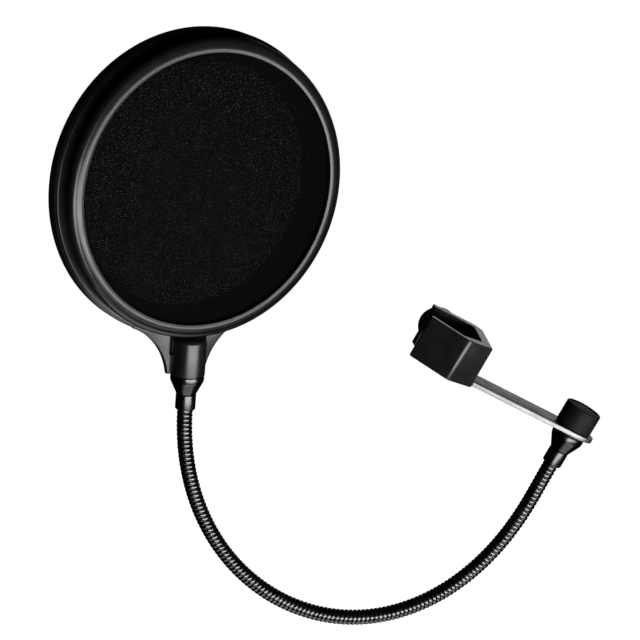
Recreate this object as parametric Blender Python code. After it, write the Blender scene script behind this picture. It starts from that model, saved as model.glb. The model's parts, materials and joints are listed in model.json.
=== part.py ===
"""Studio pop filter: a two-screen hoop on a gooseneck, with a flat steel arm and a clamp for a stand tube.

The row's origin is the centre of the clamp's grip. X runs from the filter towards the clamp, Y runs away
from the person who looks at the filter's open side, and Z is up. The neck, the gooseneck and the arm share
the plane y = 0.
"""
import math

import bmesh
import bpy
from mathutils import Matrix, Vector

MM = 0.001
GAP = 0.3 * MM                    # clearance between pieces that touch

# Hoop, measured from its axis and from the neck's axis (negative depth is towards the person)
RING_SEGMENTS = 60
FRONT_PLANE = -12.0 * MM
FRONT_OUTER_R = 78.6 * MM
FRONT_SEAM_R = 75.9 * MM
FRONT_INNER_R = 71.2 * MM
FRONT_HOOP_BACK = -6.5 * MM
SPACER_OUTER_R = 73.5 * MM
SPACER_INNER_R = 70.5 * MM
REAR_FRONT = 1.0 * MM
REAR_PLANE = 9.5 * MM
REAR_OUTER_R = 81.0 * MM
REAR_WALL_R = 78.5 * MM
REAR_INNER_R = 65.0 * MM
REAR_CHAMFER = 1.5 * MM
SEAT_DEPTH = 2.5 * MM            # from a hoop's front face to its screen's seat
SCREEN_THICKNESS = 0.5 * MM
RING_RISE = 120.9 * MM       # hoop centre above the lower end of the neck's sleeve

# Neck under the hoop, as depths below the hoop's centre
YOKE_TOP = 68.0 * MM
YOKE_HALF_WIDTH = 33.0 * MM
YOKE_FLANK_R = 34.6 * MM
YOKE_FLANK_CENTER = (45.3 * MM, -106.7 * MM)
YOKE_FRONT = 1.5 * MM
YOKE_BACK = 5.0 * MM
BOSS_R = 9.2 * MM
BOSS_TOP = 81.2 * MM
BOSS_BOTTOM = 101.5 * MM
INSERT_R = 5.0 * MM
INSERT_LENGTH = 12.0 * MM
INSERT_CLEARANCE = 0.2 * MM      # how far the insert is set back in the boss
STUD_R = 2.9 * MM
STUD_SHORT = 1.5 * MM            # the stud ends this far below the insert's top

# The fitting at each end of the gooseneck: a collar, a cone with a stud, and a sleeve
COLLAR_R = 9.0 * MM
COLLAR_HEIGHT = 2.7 * MM
CONE_TOP_R = 8.8 * MM
CONE_RIM = 0.5 * MM
CONE_HEIGHT = 7.2 * MM
SLEEVE_R = 5.4 * MM
SLEEVE_CHAMFER = 0.8 * MM

# Gooseneck: its curvature grows from the neck, peaks past the middle, and fades out towards the clamp
GOOSENECK_LENGTH = 316.9 * MM
GOOSENECK_R = 4.1 * MM
BEND_KNOTS = (0.0, 173.1 * MM, 288.6 * MM, GOOSENECK_LENGTH)
BEND_DEG_PER_MM = (0.3544, 0.7313, 0.3202, -0.2457)
LINKS = 10
LINK_SIDES = 12
LINK_GAP = 0.4 * MM
HEAD_YAW_DEG = 26.0

# Arm and clamp, in the clamp's own axes: u along the arm, v away from the person, w along the stand tube
SWIVEL_U = 82.4 * MM
ARM_UNDERSIDE_W = -11.4 * MM
ARM_WIDTH = 20.0 * MM
ARM_THICKNESS = 2.5 * MM
ARM_NECK_WIDTH = 15.4 * MM
ARM_TAB_HEIGHT = 17.0 * MM
ARM_END_OVERHANG = 2.75 * MM     # the round end's centre lies this far beyond the swivel
WASHER_THICKNESS = 0.7 * MM
ARM_FITTING_LENGTH = 20.4 * MM
ARM_STUD_RISE = 8.6 * MM         # of the stud above the arm
CLAMP_HALF_HEIGHT = 12.0 * MM
JAW_APEX = Vector((2.5 * MM, -21.0 * MM))
JAW_ANGLE = math.radians(30.0)
JAW_WING = 24.2 * MM
NOTCH_APEX = Vector((0.0, -14.5 * MM))
WEB_OUTER_U = 18.0 * MM
WEB_INNER_U = 12.0 * MM
REAR_ARM_INNER_V = 19.0 * MM
REAR_ARM_OUTER_V = 26.0 * MM
REAR_ARM_END_U = -12.3 * MM
SCREW_U = -1.5 * MM
SCREW_R = 3.0 * MM
SCREW_FRONT_V = -4.0 * MM
PAD_FACE_V = -8.0 * MM
PAD_HALF_WIDTH = 8.0 * MM
PAD_HALF_HEIGHT = 9.0 * MM
KNOB_R = 10.5 * MM
KNOB_HEIGHT = 10.0 * MM
ARM_KNOB_R = 10.1 * MM
ARM_KNOB_TOP = 12.6 * MM         # above the arm
KNOB_WASHER_R = 7.5 * MM
KNOB_WASHER_THICKNESS = 0.8 * MM

# Base colour, roughness and metallic share of each material
LOOKS = {
    "hoop_plastic": ((0.012, 0.012, 0.013, 1.0), 0.45, 0.0),
    "lip_plastic": ((0.03, 0.03, 0.032, 1.0), 0.4, 0.0),
    "screen_knit": ((0.008, 0.008, 0.009, 1.0), 0.9, 0.0),
    "brass": ((0.55, 0.42, 0.2, 1.0), 0.35, 1.0),
    "black_chrome": ((0.05, 0.05, 0.055, 1.0), 0.25, 1.0),
    "gooseneck_steel": ((0.06, 0.06, 0.065, 1.0), 0.2, 1.0),
    "nylon_washer": ((0.02, 0.02, 0.02, 1.0), 0.6, 0.0),
    "washer_steel": ((0.25, 0.25, 0.26, 1.0), 0.35, 1.0),
    "knob_plastic": ((0.015, 0.015, 0.016, 1.0), 0.7, 0.0),
    "clamp_plastic": ((0.012, 0.012, 0.013, 1.0), 0.4, 0.0),
    "nut_steel": ((0.4, 0.4, 0.42, 1.0), 0.3, 1.0),
    "liner_rubber": ((0.02, 0.02, 0.02, 1.0), 0.8, 0.0),
    "arm_steel": ((0.1, 0.1, 0.105, 1.0), 0.35, 1.0),
    "screw_steel": ((0.4, 0.4, 0.42, 1.0), 0.3, 1.0),
    "pad_plastic": ((0.012, 0.012, 0.013, 1.0), 0.5, 0.0),
    "pad_rubber": ((0.02, 0.02, 0.02, 1.0), 0.85, 0.0),
    "clamp_screw_steel": ((0.45, 0.45, 0.47, 1.0), 0.28, 1.0),
}


def clear_scene():
    for item in list(bpy.data.objects):
        bpy.data.objects.remove(item, do_unlink=True)


def material(name):
    found = bpy.data.materials.get(name)
    if found:
        return found
    color, roughness, metallic = LOOKS[name]
    made = bpy.data.materials.new(name)
    made.use_nodes = True
    shader = made.node_tree.nodes["Principled BSDF"]
    shader.inputs["Base Color"].default_value = color
    shader.inputs["Roughness"].default_value = roughness
    shader.inputs["Metallic"].default_value = metallic
    return made


def finish(name, mesh_data, look, parent=None, smooth=True):
    """Turn a bmesh into a named object with its material."""
    bmesh.ops.recalc_face_normals(mesh_data, faces=mesh_data.faces)
    mesh = bpy.data.meshes.new(name)
    mesh_data.to_mesh(mesh)
    mesh_data.free()
    if smooth:
        mesh.shade_smooth()
        mesh.set_sharp_from_angle(angle=math.radians(35.0))
    made = bpy.data.objects.new(name, mesh)
    bpy.context.scene.collection.objects.link(made)
    made.data.materials.append(look)
    made.parent = parent
    return made


def empty(name, matrix, parent=None):
    made = bpy.data.objects.new(name, None)
    bpy.context.scene.collection.objects.link(made)
    made.parent = parent
    made.matrix_local = matrix
    return made


def lathe(name, profile, look, parent=None, segments=24, axis="Z"):
    """Turn a closed profile of (radius, height) points about an axis of the parent."""
    made = bmesh.new()
    rings = []
    for radius, height in profile:
        if radius < 1e-9:
            rings.append([made.verts.new((0.0, 0.0, height))])
            continue
        ring = []
        for step in range(segments):
            angle = 2.0 * math.pi * step / segments
            ring.append(made.verts.new((radius * math.cos(angle), radius * math.sin(angle), height)))
        rings.append(ring)
    solid_core = len(rings[0]) == 1
    pairs = list(zip(rings, rings[1:]))
    if not solid_core:
        pairs.append((rings[-1], rings[0]))
    for lower, upper in pairs:
        for step in range(segments):
            after = (step + 1) % segments
            corners = [lower[step % len(lower)], lower[after % len(lower)]]
            corners += [upper[after % len(upper)], upper[step % len(upper)]]
            made.faces.new(list(dict.fromkeys(corners)))
    if axis == "Y":
        bmesh.ops.rotate(made, verts=made.verts, matrix=Matrix.Rotation(-math.pi / 2.0, 3, "X"))
    return finish(name, made, look, parent)


def prism(name, outline, low, high, look, parent=None, axis="Z", smooth=False):
    """Extrude a closed outline of 2-D points between two heights; axis Y takes (x, z) points."""
    made = bmesh.new()
    if axis == "Z":
        base = [made.verts.new((x, y, low)) for x, y in outline]
        shift = Vector((0.0, 0.0, high - low))
    else:
        base = [made.verts.new((x, low, z)) for x, z in outline]
        shift = Vector((0.0, high - low, 0.0))
    face = made.faces.new(base)
    grown = bmesh.ops.extrude_face_region(made, geom=[face])
    moved = [item for item in grown["geom"] if isinstance(item, bmesh.types.BMVert)]
    bmesh.ops.translate(made, verts=moved, vec=shift)
    return finish(name, made, look, parent, smooth)


def boolean(target, cutter, operation="DIFFERENCE"):
    """Join or cut with a helper that stays out of the build."""
    modifier = target.modifiers.new(cutter.name, "BOOLEAN")
    modifier.operation = operation
    modifier.object = cutter
    modifier.solver = "EXACT"
    cutter.hide_render = True
    cutter.display_type = "WIRE"


def arc(center, radius, start_deg, end_deg, steps):
    points = []
    for step in range(steps + 1):
        angle = math.radians(start_deg + (end_deg - start_deg) * step / steps)
        points.append((center[0] + radius * math.cos(angle), center[1] + radius * math.sin(angle)))
    return points


def curvature(distance):
    """Bend of the gooseneck in radians per metre, linear between its knots."""
    for index in range(len(BEND_KNOTS) - 1):
        low, high = BEND_KNOTS[index], BEND_KNOTS[index + 1]
        if distance <= high:
            share = (distance - low) / (high - low)
            bend = BEND_DEG_PER_MM[index] * (1.0 - share) + BEND_DEG_PER_MM[index + 1] * share
            return math.radians(bend) / MM
    return math.radians(BEND_DEG_PER_MM[-1]) / MM


def gooseneck_route(steps=640):
    """Points and headings from the neck's sleeve (0, 0) to the clamp's, heading 0 being straight down."""
    step = GOOSENECK_LENGTH / steps
    x, z, heading = 0.0, 0.0, 0.0
    route = [(x, z, heading)]
    for index in range(steps):
        turn = curvature((index + 0.5) * step) * step
        middle = heading + turn / 2.0
        x += math.sin(middle) * step
        z -= math.cos(middle) * step
        heading += turn
        route.append((x, z, heading))
    return route


ROUTE = gooseneck_route()
CLAMP_TILT = math.pi - ROUTE[-1][2]        # the tube's axis leans this far from Z towards +X
CLAMP_MATRIX = Matrix.Rotation(CLAMP_TILT, 4, "Y")
SWIVEL_POINT = CLAMP_MATRIX @ Vector((SWIVEL_U, 0.0, ARM_UNDERSIDE_W))
ARM_SLEEVE_END = CLAMP_MATRIX @ Vector((SWIVEL_U, 0.0, ARM_UNDERSIDE_W - ARM_FITTING_LENGTH))
NECK_FOOT = Vector((ARM_SLEEVE_END.x - ROUTE[-1][0], 0.0, ARM_SLEEVE_END.z - ROUTE[-1][1]))


def route_point(distance):
    """Point and heading at a distance from the neck's sleeve."""
    share = distance / GOOSENECK_LENGTH * (len(ROUTE) - 1)
    index = min(int(share), len(ROUTE) - 2)
    part = share - index
    before, after = ROUTE[index], ROUTE[index + 1]
    x, z, heading = (a * (1.0 - part) + b * part for a, b in zip(before, after))
    return Vector((NECK_FOOT.x + x, 0.0, NECK_FOOT.z + z)), heading


def build_hoop(head):
    plastic = material("hoop_plastic")
    lip = material("lip_plastic")
    knit = material("screen_knit")
    front = FRONT_PLANE
    screen_front = front + SEAT_DEPTH + GAP
    shelf = screen_front + SCREEN_THICKNESS + GAP
    lathe("front_hoop", [
        (FRONT_SEAM_R, front + 0.5 * MM),
        (FRONT_SEAM_R, shelf),
        (FRONT_INNER_R + 0.4 * MM, shelf),
        (FRONT_INNER_R + 0.4 * MM, FRONT_HOOP_BACK),
        (FRONT_OUTER_R - 0.6 * MM, FRONT_HOOP_BACK),
        (FRONT_OUTER_R, FRONT_HOOP_BACK - 0.6 * MM),
        (FRONT_OUTER_R, front + 3.6 * MM),
        (FRONT_OUTER_R - 0.7 * MM, front + 1.7 * MM),
        (FRONT_OUTER_R - 1.7 * MM, front + 0.7 * MM),
    ], plastic, head, RING_SEGMENTS, "Y")
    lathe("front_retaining_ring", [
        (FRONT_INNER_R, front + 0.6 * MM),
        (FRONT_INNER_R, front + SEAT_DEPTH),
        (FRONT_SEAM_R - GAP, front + SEAT_DEPTH),
        (FRONT_SEAM_R - GAP, front + 0.4 * MM),
        (FRONT_SEAM_R - 1.4 * MM, front),
        (FRONT_INNER_R + 1.0 * MM, front),
    ], lip, head, RING_SEGMENTS, "Y")
    lathe("front_screen", [
        (0.0, screen_front),
        (FRONT_SEAM_R - GAP, screen_front),
        (FRONT_SEAM_R - GAP, screen_front + SCREEN_THICKNESS),
        (0.0, screen_front + SCREEN_THICKNESS),
    ], knit, head, RING_SEGMENTS, "Y")
    lathe("spacer_ring", [
        (SPACER_INNER_R, FRONT_HOOP_BACK + GAP),
        (SPACER_INNER_R, REAR_FRONT - GAP),
        (SPACER_OUTER_R, REAR_FRONT - GAP),
        (SPACER_OUTER_R, FRONT_HOOP_BACK + GAP),
    ], plastic, head, RING_SEGMENTS, "Y")
    build_rear_hoop(head, plastic)
    screen_rear = REAR_FRONT + SEAT_DEPTH + GAP
    lathe("rear_screen", [
        (0.0, screen_rear),
        (REAR_WALL_R - GAP, screen_rear),
        (REAR_WALL_R - GAP, screen_rear + SCREEN_THICKNESS),
        (0.0, screen_rear + SCREEN_THICKNESS),
    ], knit, head, RING_SEGMENTS, "Y")
    ring_front = screen_rear + SCREEN_THICKNESS + GAP
    lathe("rear_retaining_ring", [
        (REAR_INNER_R + 0.4 * MM, ring_front),
        (REAR_INNER_R + 0.4 * MM, REAR_PLANE - 1.8 * MM),
        (REAR_INNER_R + 1.4 * MM, REAR_PLANE - 0.8 * MM),
        (REAR_WALL_R - GAP, REAR_PLANE - 0.8 * MM),
        (REAR_WALL_R - GAP, ring_front),
    ], lip, head, RING_SEGMENTS, "Y")


def yoke_outline():
    """The plate under the rear hoop: concave flanks that run from the hoop down to the boss."""
    right = arc(YOKE_FLANK_CENTER, YOKE_FLANK_R, 171.0, 112.0, 10)
    top = [(YOKE_HALF_WIDTH, -YOKE_TOP), (-YOKE_HALF_WIDTH, -YOKE_TOP)]
    left = [(-x, z) for x, z in reversed(right)]
    foot = [(-BOSS_R + 0.5 * MM, -BOSS_BOTTOM + 0.2 * MM), (BOSS_R - 0.5 * MM, -BOSS_BOTTOM + 0.2 * MM)]
    return right + top + left + foot


def build_rear_hoop(head, plastic):
    """Rear hoop, yoke plate and neck boss are one moulding."""
    hoop = lathe("rear_hoop", [
        (REAR_INNER_R, REAR_FRONT),
        (REAR_INNER_R, REAR_FRONT + SEAT_DEPTH),
        (REAR_WALL_R, REAR_FRONT + SEAT_DEPTH),
        (REAR_WALL_R, REAR_PLANE),
        (REAR_OUTER_R - 0.8 * MM, REAR_PLANE),
        (REAR_OUTER_R, REAR_PLANE - 0.8 * MM),
        (REAR_OUTER_R, REAR_FRONT + REAR_CHAMFER),
        (REAR_OUTER_R - REAR_CHAMFER, REAR_FRONT),
    ], plastic, head, RING_SEGMENTS, "Y")
    yoke = prism("yoke_form", yoke_outline(), YOKE_FRONT, YOKE_BACK, plastic, head, "Y")
    inside = lathe("yoke_cut", [
        (0.0, REAR_FRONT - 5.0 * MM),
        (REAR_WALL_R + 1.0 * MM, REAR_FRONT - 5.0 * MM),
        (REAR_WALL_R + 1.0 * MM, REAR_PLANE + 5.0 * MM),
        (0.0, REAR_PLANE + 5.0 * MM),
    ], plastic, head, RING_SEGMENTS, "Y")
    boolean(yoke, inside)
    boss = lathe("boss_form", [
        (0.0, -BOSS_BOTTOM),
        (BOSS_R, -BOSS_BOTTOM),
        (BOSS_R, -BOSS_TOP - 1.8 * MM),
        (BOSS_R - 0.6 * MM, -BOSS_TOP - 0.6 * MM),
        (BOSS_R - 1.8 * MM, -BOSS_TOP),
        (0.0, -BOSS_TOP),
    ], plastic, head, 32)
    socket = lathe("socket_cut", [
        (0.0, -BOSS_BOTTOM - 1.0 * MM),
        (INSERT_R + GAP, -BOSS_BOTTOM - 1.0 * MM),
        (INSERT_R + GAP, -BOSS_BOTTOM + INSERT_LENGTH + GAP),
        (0.0, -BOSS_BOTTOM + INSERT_LENGTH + GAP),
    ], plastic, head, 24)
    boolean(hoop, yoke, "UNION")
    boolean(hoop, boss, "UNION")
    boolean(hoop, socket)


def build_fitting(names, top, stud_top, sleeve_bottom, parent):
    """The collar, the cone with its stud and the sleeve, below a height on the parent's Z."""
    chrome = material("black_chrome")
    collar_bottom = top - COLLAR_HEIGHT
    lathe(names[0], [
        (STUD_R + GAP, collar_bottom),
        (COLLAR_R, collar_bottom),
        (COLLAR_R, top),
        (STUD_R + GAP, top),
    ], chrome, parent, 32)
    cone_top = collar_bottom - GAP
    cone_bottom = cone_top - CONE_HEIGHT
    lathe(names[1], [
        (0.0, cone_bottom),
        (SLEEVE_R, cone_bottom),
        (CONE_TOP_R, cone_top - CONE_RIM),
        (CONE_TOP_R, cone_top),
        (STUD_R, cone_top),
        (STUD_R, stud_top),
        (0.0, stud_top),
    ], chrome, parent, 32)
    lathe(names[2], [
        (0.0, sleeve_bottom),
        (SLEEVE_R - SLEEVE_CHAMFER, sleeve_bottom),
        (SLEEVE_R, sleeve_bottom + SLEEVE_CHAMFER),
        (SLEEVE_R, cone_bottom - GAP),
        (0.0, cone_bottom - GAP),
    ], chrome, parent, 24)


def build_neck_fitting(head, swivel):
    """The insert turns with the hoop, and the fitting below it is fixed to the gooseneck."""
    insert_bottom = -BOSS_BOTTOM + INSERT_CLEARANCE
    insert_top = -BOSS_BOTTOM + INSERT_LENGTH
    lathe("neck_insert", [
        (STUD_R + GAP, insert_bottom),
        (INSERT_R, insert_bottom),
        (INSERT_R, insert_top),
        (STUD_R + GAP, insert_top),
    ], material("brass"), head, 24)
    names = ("neck_collar", "head_fitting", "head_sleeve")
    build_fitting(names, -BOSS_BOTTOM - GAP, insert_top - STUD_SHORT, -RING_RISE, swivel)


def link_mesh(start, end):
    """A round tube along the route between two distances, with round ends."""
    made = bmesh.new()
    cap_steps = 3
    body_steps = 6
    stations = []
    first = start + GOOSENECK_R
    last = end - GOOSENECK_R
    for step in range(1, cap_steps):
        angle = math.pi / 2.0 * step / cap_steps
        stations.append((first, -math.cos(angle), math.sin(angle)))
    for step in range(body_steps + 1):
        stations.append((first + (last - first) * step / body_steps, 0.0, 1.0))
    for step in range(1, cap_steps):
        angle = math.pi / 2.0 * step / cap_steps
        stations.append((last, math.sin(angle), math.cos(angle)))
    rings = []
    for distance, along, across in stations:
        point, heading = route_point(distance)
        forward = Vector((math.sin(heading), 0.0, -math.cos(heading)))
        side = Vector((math.cos(heading), 0.0, math.sin(heading)))
        center = point + forward * (along * GOOSENECK_R)
        ring = []
        for index in range(LINK_SIDES):
            angle = 2.0 * math.pi * index / LINK_SIDES
            out = side * math.cos(angle) + Vector((0.0, 1.0, 0.0)) * math.sin(angle)
            ring.append(made.verts.new(center + out * (across * GOOSENECK_R)))
        rings.append(ring)
    poles = []
    for distance, sign in ((first, -1.0), (last, 1.0)):
        point, heading = route_point(distance)
        forward = Vector((math.sin(heading), 0.0, -math.cos(heading)))
        poles.append(made.verts.new(point + forward * (sign * GOOSENECK_R)))
    for lower, upper in zip(rings, rings[1:]):
        for index in range(LINK_SIDES):
            after = (index + 1) % LINK_SIDES
            made.faces.new((lower[index], lower[after], upper[after], upper[index]))
    for index in range(LINK_SIDES):
        after = (index + 1) % LINK_SIDES
        made.faces.new((poles[0], rings[0][after], rings[0][index]))
        made.faces.new((poles[1], rings[-1][index], rings[-1][after]))
    return made


def build_gooseneck():
    """Equal links from the clamp (01) to the neck, each with its origin on the pivot towards the clamp."""
    steel = material("gooseneck_steel")
    pitch = GOOSENECK_LENGTH / LINKS
    for number in range(1, LINKS + 1):
        end = GOOSENECK_LENGTH - (number - 1) * pitch
        start = end - pitch
        pivot, _ = route_point(end)
        link = link_mesh(start + LINK_GAP / 2.0, end - LINK_GAP / 2.0)
        bmesh.ops.translate(link, verts=link.verts, vec=-pivot)
        made = finish(f"gooseneck_link_{number:02d}", link, steel)
        made.location = pivot


def build_arm_fitting(swivel):
    """From the arm's underside down to the gooseneck, with a stud up through the arm into the knob."""
    washer_bottom = -GAP - WASHER_THICKNESS
    lathe("friction_washer", [
        (STUD_R + GAP, washer_bottom),
        (COLLAR_R - 0.6 * MM, washer_bottom),
        (COLLAR_R - 0.6 * MM, -GAP),
        (STUD_R + GAP, -GAP),
    ], material("nylon_washer"), swivel, 32)
    names = ("arm_collar", "arm_fitting", "arm_sleeve")
    build_fitting(names, washer_bottom - GAP, ARM_THICKNESS + ARM_STUD_RISE, -ARM_FITTING_LENGTH, swivel)


def build_arm_knob(knob_axis):
    """Knob over the arm: washer, brass insert and a matte cap whose skirt covers the washer."""
    washer_bottom = ARM_THICKNESS + GAP
    washer_top = washer_bottom + KNOB_WASHER_THICKNESS
    lathe("knob_washer", [
        (STUD_R + GAP, washer_bottom),
        (KNOB_WASHER_R, washer_bottom),
        (KNOB_WASHER_R, washer_top),
        (STUD_R + GAP, washer_top),
    ], material("washer_steel"), knob_axis, 24)
    insert_bottom = washer_top + GAP
    insert_top = insert_bottom + 7.5 * MM
    lathe("arm_knob_insert", [
        (STUD_R + GAP, insert_bottom),
        (INSERT_R, insert_bottom),
        (INSERT_R, insert_top),
        (STUD_R + GAP, insert_top),
    ], material("brass"), knob_axis, 24)
    top = ARM_THICKNESS + ARM_KNOB_TOP
    lathe("arm_knob", [
        (0.0, insert_top + GAP),
        (INSERT_R + GAP, insert_top + GAP),
        (INSERT_R + GAP, insert_bottom),
        (KNOB_WASHER_R + GAP, insert_bottom),
        (KNOB_WASHER_R + GAP, washer_bottom),
        (ARM_KNOB_R - 0.5 * MM, washer_bottom),
        (ARM_KNOB_R, washer_bottom + 0.5 * MM),
        (ARM_KNOB_R, top - 0.8 * MM),
        (ARM_KNOB_R - 0.8 * MM, top),
        (0.0, top),
    ], material("knob_plastic"), knob_axis, 40)


def clamp_outline():
    """Plan of the C-shaped body: a V-shaped front jaw, the web at the arm's side, and the rear arm."""
    run = Vector((math.cos(JAW_ANGLE), math.sin(JAW_ANGLE)))
    apex_r = 3.0 * MM
    apex_center = (JAW_APEX.x, JAW_APEX.y + apex_r / math.cos(JAW_ANGLE))
    wing_tip = JAW_APEX + Vector((-run.x, run.y)) * JAW_WING
    wing_inner_u = wing_tip.x + 1.2 * MM
    right_v = JAW_APEX.y + (WEB_OUTER_U - JAW_APEX.x) * math.tan(JAW_ANGLE)
    points = arc(apex_center, apex_r, 240.0, 300.0, 5)
    points.append((WEB_OUTER_U - 0.8 * MM, right_v - 0.2 * MM))
    points.append((WEB_OUTER_U, right_v + 0.9 * MM))
    points += arc((WEB_OUTER_U - 7.0 * MM, REAR_ARM_OUTER_V - 7.0 * MM), 7.0 * MM, 0.0, 90.0, 5)
    points.append((REAR_ARM_END_U + 1.0 * MM, REAR_ARM_OUTER_V))
    points.append((REAR_ARM_END_U, REAR_ARM_OUTER_V - 1.0 * MM))
    points.append((REAR_ARM_END_U, REAR_ARM_INNER_V + 0.8 * MM))
    points.append((REAR_ARM_END_U + 0.8 * MM, REAR_ARM_INNER_V))
    points += arc((WEB_INNER_U - 2.0 * MM, REAR_ARM_INNER_V - 2.0 * MM), 2.0 * MM, 90.0, 0.0, 3)
    points.append((WEB_INNER_U, NOTCH_APEX.y + (WEB_INNER_U - NOTCH_APEX.x) * math.tan(JAW_ANGLE)))
    points.append((NOTCH_APEX.x, NOTCH_APEX.y))
    points.append((wing_inner_u, NOTCH_APEX.y + (NOTCH_APEX.x - wing_inner_u) * math.tan(JAW_ANGLE)))
    points.append((wing_tip.x, wing_tip.y + 2.4 * MM))
    points.append((wing_tip.x + 0.2 * MM, wing_tip.y + 0.3 * MM))
    return points


def build_clamp_body(clamp):
    """The moulded body, cut for the screw, its nut and the arm's tab."""
    plastic = material("clamp_plastic")
    steel = material("nut_steel")
    rubber = material("liner_rubber")
    body = prism("clamp_body", clamp_outline(), -CLAMP_HALF_HEIGHT, CLAMP_HALF_HEIGHT, plastic, clamp)
    hole = lathe("screw_hole_cut", [
        (0.0, REAR_ARM_INNER_V - 1.0 * MM),
        (SCREW_R + GAP, REAR_ARM_INNER_V - 1.0 * MM),
        (SCREW_R + GAP, REAR_ARM_OUTER_V + 1.0 * MM),
        (0.0, REAR_ARM_OUTER_V + 1.0 * MM),
    ], plastic, clamp, 24, "Y")
    hole.location.x = SCREW_U
    boolean(body, hole)
    nut_depth = 4.5 * MM
    nut_r = 6.2 * MM
    pocket = lathe("nut_pocket_cut", [
        (0.0, REAR_ARM_INNER_V - 1.0 * MM),
        (nut_r + GAP, REAR_ARM_INNER_V - 1.0 * MM),
        (nut_r + GAP, REAR_ARM_INNER_V + nut_depth + GAP),
        (0.0, REAR_ARM_INNER_V + nut_depth + GAP),
    ], plastic, clamp, 6, "Y")
    pocket.location.x = SCREW_U
    boolean(body, pocket)
    nut = lathe("clamp_nut", [
        (0.0, REAR_ARM_INNER_V),
        (nut_r, REAR_ARM_INNER_V),
        (nut_r, REAR_ARM_INNER_V + nut_depth),
        (0.0, REAR_ARM_INNER_V + nut_depth),
    ], steel, clamp, 6, "Y")
    nut.location.x = SCREW_U
    boolean(nut, hole)
    half = ARM_NECK_WIDTH / 2.0 + GAP
    slot_outline = [
        (WEB_INNER_U - 1.0 * MM, -CLAMP_HALF_HEIGHT - 1.0 * MM),
        (WEB_OUTER_U + 1.0 * MM, -CLAMP_HALF_HEIGHT - 1.0 * MM),
        (WEB_OUTER_U + 1.0 * MM, ARM_UNDERSIDE_W + ARM_THICKNESS + GAP),
        (WEB_INNER_U - 1.0 * MM, ARM_UNDERSIDE_W + ARM_THICKNESS + GAP),
    ]
    slot = prism("arm_slot_cut", slot_outline, -half, half, plastic, clamp, "Y")
    boolean(body, slot)
    liner_length = 8.6 * MM
    thickness = 1.2 * MM
    rise = math.tan(JAW_ANGLE)
    lift = GAP / math.cos(JAW_ANGLE)
    full = lift + thickness / math.cos(JAW_ANGLE)
    apex_v = NOTCH_APEX.y
    liner = [
        (-liner_length, apex_v + lift + liner_length * rise),
        (0.0, apex_v + lift),
        (liner_length, apex_v + lift + liner_length * rise),
        (liner_length - thickness, apex_v + full + (liner_length - thickness) * rise),
        (0.0, apex_v + full),
        (-liner_length + thickness, apex_v + full + (liner_length - thickness) * rise),
    ]
    prism("v_jaw_liner", liner, -CLAMP_HALF_HEIGHT + 1.5 * MM, CLAMP_HALF_HEIGHT - 1.5 * MM, rubber, clamp)
    return body


def build_arm_bar(clamp, body):
    """Flat steel arm: a round end at the swivel, shoulders at the clamp, and a tab turned up inside it."""
    steel = material("arm_steel")
    screw_steel = material("screw_steel")
    half = ARM_WIDTH / 2.0
    neck_half = ARM_NECK_WIDTH / 2.0
    shoulder = WEB_OUTER_U + GAP
    tab_outer = WEB_INNER_U - GAP
    tab_inner = tab_outer - ARM_THICKNESS
    low = ARM_UNDERSIDE_W
    high = ARM_UNDERSIDE_W + ARM_THICKNESS
    outline = arc((SWIVEL_U + ARM_END_OVERHANG, 0.0), half, -90.0, 90.0, 14)
    outline += [(shoulder, half), (shoulder, neck_half), (tab_inner, neck_half)]
    outline += [(tab_inner, -neck_half), (shoulder, -neck_half), (shoulder, -half)]
    bar = prism("arm_bar", outline, low, high, steel, clamp)
    tab_outline = [(tab_inner, low + 0.1 * MM), (tab_outer, low + 0.1 * MM)]
    tab_outline += [(tab_outer, low + ARM_TAB_HEIGHT), (tab_inner, low + ARM_TAB_HEIGHT)]
    tab = prism("arm_tab_form", tab_outline, -neck_half, neck_half, steel, clamp, "Y")
    boolean(bar, tab, "UNION")
    hole = lathe("swivel_hole_cut", [
        (0.0, low - 1.0 * MM),
        (STUD_R + GAP, low - 1.0 * MM),
        (STUD_R + GAP, high + 1.0 * MM),
        (0.0, high + 1.0 * MM),
    ], steel, clamp, 24)
    hole.location.x = SWIVEL_U
    boolean(bar, hole)
    screw_w = ARM_UNDERSIDE_W + 10.5 * MM
    for number, side in ((1, -1.0), (2, 1.0)):
        place = Matrix.Translation((0.0, side * 4.6 * MM, screw_w)) @ Matrix.Rotation(math.pi / 2.0, 4, "Y")
        seat = empty(f"bar_screw_{number}_seat", place, clamp)
        shaft_r = 1.5 * MM
        head_r = 2.6 * MM
        head_low = tab_inner - GAP - 1.6 * MM
        lathe(f"bar_screw_{number}", [
            (0.0, head_low),
            (head_r - 0.5 * MM, head_low),
            (head_r, head_low + 0.5 * MM),
            (head_r, tab_inner - GAP),
            (shaft_r, tab_inner - GAP),
            (shaft_r, WEB_OUTER_U - 1.5 * MM),
            (0.0, WEB_OUTER_U - 1.5 * MM),
        ], screw_steel, seat, 16)
        cut = lathe(f"bar_screw_{number}_cut", [
            (0.0, head_low),
            (shaft_r + GAP, head_low),
            (shaft_r + GAP, WEB_OUTER_U - 1.5 * MM + GAP),
            (0.0, WEB_OUTER_U - 1.5 * MM + GAP),
        ], screw_steel, seat, 16)
        boolean(bar, cut)
        boolean(body, cut)


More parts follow.
